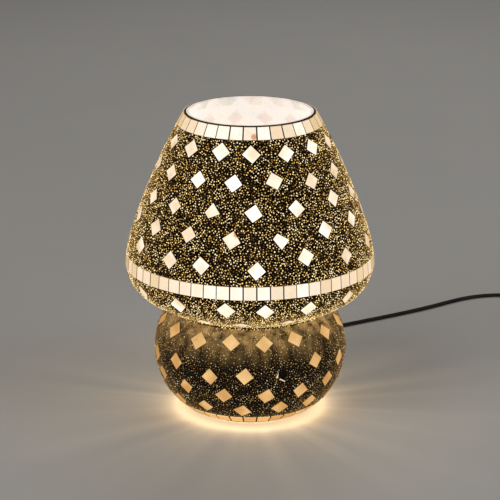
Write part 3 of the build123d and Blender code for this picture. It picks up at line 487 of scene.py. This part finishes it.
def dress(name, node):
    """Gives a CAD node its finish, by its own name or by its material slot."""
    slot_name = node.data.materials[0].name
    key = FINISH_OF_NODE.get(name) or FINISH_OF_SLOT[slot_name]
    for slot in node.material_slots:
        slot.link = "OBJECT"
        slot.material = finishes[key]


# ------------------------------------------------------------------ mesh helpers
def new_piece(name, shape, material, body="lamp"):
    """A mesh or a curve as a piece of its own that rides on a body."""
    piece = bpy.data.objects.new(name, shape)
    bpy.context.scene.collection.objects.link(piece)
    shape.materials.append(material)
    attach(piece, body)


def tree_of(*names):
    """A search tree of the named nodes' faces."""
    points = []
    faces = []
    for name in names:
        start = len(points)
        mesh = nodes[name].data
        points += [v.co.copy() for v in mesh.vertices]
        faces += [[start + i for i in p.vertices] for p in mesh.polygons]
    return BVHTree.FromPolygons(points, faces)


def scatter(mesh, per_area, rng):
    """Random points on a mesh's faces, with the faces' normals."""
    mesh.calc_loop_triangles()
    corners = np.zeros(len(mesh.loop_triangles) * 3, np.int32)
    mesh.loop_triangles.foreach_get("vertices", corners)
    places = np.zeros(len(mesh.vertices) * 3)
    mesh.vertices.foreach_get("co", places)
    a, b, c = places.reshape(-1, 3)[corners.reshape(-1, 3)].transpose(1, 0, 2)
    cross = np.cross(b - a, c - a)
    area = np.linalg.norm(cross, axis=1) / 2
    total = int(area.sum() * per_area)
    chosen = rng.choice(len(area), total, p=area / area.sum())
    u, v = rng.random((2, total, 1))
    over = u + v > 1
    u, v = np.where(over, 1 - u, u), np.where(over, 1 - v, v)
    points = a[chosen] + u * (b - a)[chosen] + v * (c - a)[chosen]
    normals = cross[chosen] / (2 * area[chosen])[:, None]
    return points, normals


def thin_out(points, least):
    """The points that are kept, in order, when no two may be nearer than least."""
    cells = {}
    kept = []
    near = [(i, j, k) for i in (-1, 0, 1) for j in (-1, 0, 1) for k in (-1, 0, 1)]
    keys = np.floor(points / least).astype(int)
    for index, (key, point) in enumerate(zip(map(tuple, keys), points)):
        close = any(
            ((points[other] - point) ** 2).sum() < least * least
            for di, dj, dk in near
            for other in cells.get((key[0] + di, key[1] + dj, key[2] + dk), ())
        )
        if not close:
            kept.append(index)
            cells.setdefault(key, []).append(index)
    return kept


# ------------------------------------------------------------------ glass beads
def bead_template():
    """A closed dome: a foot ring under the surface, a shoulder ring and a top."""
    turn = [2 * math.pi * i / BEAD_SIDES for i in range(BEAD_SIDES)]
    points = [(math.cos(t), math.sin(t), -0.25) for t in turn]
    points += [(0.78 * math.cos(t), 0.78 * math.sin(t), 0.68 * BEAD_HEIGHT) for t in turn]
    points.append((0, 0, BEAD_HEIGHT))
    top = 2 * BEAD_SIDES
    faces = []
    for i in range(BEAD_SIDES):
        j = (i + 1) % BEAD_SIDES
        faces += [(i, j, BEAD_SIDES + j), (i, BEAD_SIDES + j, BEAD_SIDES + i)]
        faces += [(BEAD_SIDES + i, BEAD_SIDES + j, top)]
    faces += [(0, i + 1, i) for i in range(1, BEAD_SIDES - 1)]
    return np.array(points), np.array(faces)


def bead_mesh(name, points, normals, radii, rng):
    """One mesh of separate closed beads, each with its own size, stretch and turn."""
    template, faces = bead_template()
    count = len(points)
    side = np.cross(normals, rng.normal(size=(count, 3)))
    side /= np.linalg.norm(side, axis=1)[:, None]
    across = np.cross(normals, side)
    radius = rng.uniform(*radii, count)[:, None, None]
    stretch = np.sqrt(rng.uniform(*BEAD_STRETCH, count))[:, None, None]
    places = points[:, None] + radius * (
        template[None, :, 0:1] * stretch * side[:, None]
        + template[None, :, 1:2] / stretch * across[:, None]
        + template[None, :, 2:3] * normals[:, None]
    )
    corners = faces[None] + (np.arange(count) * len(template))[:, None, None]
    mesh = bpy.data.meshes.new(name)
    mesh.from_pydata(places.reshape(-1, 3), [], corners.reshape(-1, 3))
    mesh.polygons.foreach_set("use_smooth", [True] * len(mesh.polygons))
    return mesh


def set_beads(region, spacing, radius, clear, levels, bare, rng):
    """Beads all over the outer side of a region's grout, clear of its tiles and of the bare place."""
    glass = tree_of("glass_body")
    obstacles = tree_of(*clear)
    points, normals = scatter(nodes[region + "_grout"].data, BEAD_CANDIDATES / spacing ** 2, rng)
    outside = [
        i for i, p in enumerate(points)
        if glass.find_nearest(p, GLASS_GAP)[0] is None
        and obstacles.find_nearest(p, radius[1])[0] is None
        and (bare - Vector(p)).length > LOST_TILE_BARE
    ]
    points, normals = points[outside], normals[outside]
    kept = thin_out(points, spacing)
    points, normals = points[kept], normals[kept]
    clump = np.array([noise.noise(Vector(p) / BEAD_CLUMP) for p in points])
    rank = np.argsort(np.argsort(rng.random(len(points)) + 0.45 * clump)) / len(points)
    start = 0.0
    for number, (share, colour, glow) in enumerate(levels, 1):
        mine = (rank >= start) & (rank < start + share)
        start += share
        name = f"{region}_beads_{number}"
        mesh = bead_mesh(name, points[mine], normals[mine], radius, rng)
        new_piece(name, mesh, bead_finish(name + "_finish", colour, glow))


# ------------------------------------------------------------------ lost tile
def surface_point(name, height, azimuth):
    """Where a node's face is at a height and azimuth, with its normal."""
    turn = math.radians(azimuth)
    outward = Vector((math.sin(turn), -math.cos(turn), 0))
    start = outward * cad_box[1].z + Vector((0, 0, height))
    point, normal = tree_of(name).ray_cast(start, -outward)[:2]
    return point, normal


def lost_tile_chips(place, normal):
    """Slivers of a lost tile that still stick in the grout and catch the light."""
    level = Vector((0, 0, 1)).cross(normal).normalized()
    up = normal.cross(level)
    for number, outline in enumerate(LOST_TILE_CHIPS, 1):
        points = []
        for lift in (-0.4 * MM, 0.3 * MM):
            points += [place + level * x * MM + up * y * MM + normal * lift for x, y in outline]
        count = len(outline)
        faces = [tuple(range(count))[::-1], tuple(range(count, 2 * count))]
        faces += [(i, (i + 1) % count, count + (i + 1) % count, count + i) for i in range(count)]
        mesh = bpy.data.meshes.new(f"lost_tile_chip_{number}")
        mesh.from_pydata(points, [], faces)
        new_piece(mesh.name, mesh, finishes["chips"])


# ------------------------------------------------------------------ bulb support wires
def wire(name, points, material, body):
    """A thin round wire through the points."""
    curve = bpy.data.curves.new(name, "CURVE")
    curve.dimensions = "3D"
    curve.bevel_depth = WIRE_RADIUS
    curve.bevel_resolution = 2
    curve.use_fill_caps = True
    spline = curve.splines.new("POLY")
    spline.points.add(len(points) - 1)
    for target, point in zip(spline.points, points):
        target.co = (*point, 1.0)
    new_piece(name, curve, material, body)


def support_wires():
    """A wire from the glass stem to each end of each filament stick."""
    low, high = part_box("bulb_filaments")
    stem_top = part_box("bulb_stem")[1].z
    ring = high.x - STICK_INSET
    ends = (                          # name, height, height of its root on the stem, rise at its bend
        ("upper", high.z, stem_top - 2 * MM, WIRE_OVERSHOOT),
        ("lower", low.z, low.z + 4 * MM, -WIRE_OVERSHOOT),
    )
    for number in range(4):
        turn = math.pi / 4 + number * math.pi / 2
        out = Vector((math.cos(turn), math.sin(turn), 0))
        for end, height, root, lift in ends:
            points = [
                Vector((0, 0, root)) + out * 1.2 * MM,
                Vector((0, 0, height + lift)) + out * ring * 0.6,
                Vector((0, 0, height)) + out * ring,
            ]
            wire(f"support_wire_{end}_{number + 1}", points, finishes["nickel"], "bulb")


# ------------------------------------------------------------------ stage
def fading(tree, distance, strength, reach):
    """Light that dies away with distance."""
    left = maths(tree, "EXPONENT", maths(tree, "MULTIPLY", distance, -1 / reach))
    return maths(tree, "MULTIPLY", left, strength)


def floor_finish():
    """A plain pale floor that takes the lamp's warm light round the foot and through the lower tiles."""
    material, tree, bsdf = new_material("pale_floor")
    place = add(tree, "ShaderNodeTexCoord").outputs["Object"]
    distance = add(tree, "ShaderNodeVectorMath", {0: place}, operation="LENGTH").outputs["Value"]
    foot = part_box("foot_band_tiles")[1].x
    near = fading(tree, maths(tree, "SUBTRACT", distance, foot), *GLOW_NEAR)
    direction = add(tree, "ShaderNodeVectorMath", {0: place}, operation="NORMALIZE").outputs["Vector"]
    rays = add(tree, "ShaderNodeTexNoise", {"Vector": direction, "Scale": 4.5, "Detail": 2.0}).outputs[0]
    rays = span(tree, rays, 0.35, 0.7, 0.5, 1.3)
    glow = maths(tree, "ADD", near, maths(tree, "MULTIPLY", fading(tree, distance, *GLOW_BROAD), rays))
    tone = blend_colours(tree, grain(tree, 0.25, 3.0), (0.69, 0.675, 0.65), (0.75, 0.735, 0.71))
    feed(tree, bsdf, Base_Color=tone, Roughness=0.55, Emission_Color=rgba(GLOW_WARMTH),
         Emission_Strength=maths(tree, "MINIMUM", glow, 0.8))
    material.cycles.emission_sampling = "NONE"
    return material


def make_floor():
    mesh = bpy.data.meshes.new("floor")
    corners = [(x * FLOOR_HALF, y * FLOOR_HALF, 0) for x, y in ((-1, -1), (1, -1), (1, 1), (-1, 1))]
    mesh.from_pydata(corners, [], [(0, 1, 2, 3)])
    mesh.materials.append(floor_finish())
    floor = bpy.data.objects.new("floor", mesh)
    floor.location.z = -FLOOR_GAP
    floor.visible_glossy = False
    bpy.context.scene.collection.objects.link(floor)


def soft_light(name, place, target, size, power, colour):
    lamp = bpy.data.lights.new(name, "AREA")
    lamp.shape = "DISK"
    lamp.size = size
    lamp.energy = power
    lamp.color = colour
    light = bpy.data.objects.new(name, lamp)
    light.location = place
    light.rotation_euler = (Vector(target) - Vector(place)).to_track_quat("-Z", "Y").to_euler()
    light.visible_glossy = False
    bpy.context.scene.collection.objects.link(light)


def light_stage():
    soft_light("key_softbox", (-1.1, -1.2, 1.7), (0, 0, 0.1), 1.4, 11.0, (1.0, 0.97, 0.93))
    soft_light("fill_softbox", (1.4, -0.7, 1.2), (0, 0, 0.1), 1.2, 5.0, (0.95, 0.97, 1.0))
    soft_light("back_softbox", (0.3, 1.6, 1.6), (0, 0, 0.1), 1.4, 6.0, (1.0, 0.98, 0.95))
    world = bpy.data.worlds.new("studio")
    world.use_nodes = True
    background = world.node_tree.nodes["Background"]
    background.inputs["Color"].default_value = (1.0, 0.97, 0.93, 1.0)
    mirrored = add(world.node_tree, "ShaderNodeLightPath").outputs["Is Glossy Ray"]
    strength = span(world.node_tree, mirrored, 0.0, 1.0, 0.10, 0.03)
    world.node_tree.links.new(strength, background.inputs["Strength"])
    bpy.context.scene.world = world
    bpy.context.scene.view_settings.view_transform = "Standard"


def make_camera():
    camera = bpy.data.cameras.new("camera")
    camera.sensor_width = 36.0
    camera.lens = CAMERA_LENS
    holder = bpy.data.objects.new("camera", camera)
    back = CAMERA_DISTANCE * math.cos(math.radians(CAMERA_PITCH))
    holder.location = (0, -back, CAMERA_HEIGHT)
    holder.rotation_euler = Euler((math.radians(90 - CAMERA_PITCH), 0, 0))
    bpy.context.scene.collection.objects.link(holder)
    bpy.context.scene.camera = holder


# ------------------------------------------------------------------ build
for node_name, node in nodes.items():
    dress(node_name, node)
draws = np.random.default_rng(BEAD_SEED)
lost_place, lost_normal = surface_point("globe_grout", *LOST_TILE)
for region, values in BEADS.items():
    set_beads(region, bare=lost_place, rng=draws, **values)
lost_tile_chips(lost_place, lost_normal)
support_wires()
make_floor()
light_stage()
make_camera()
bpy.context.view_layer.update()
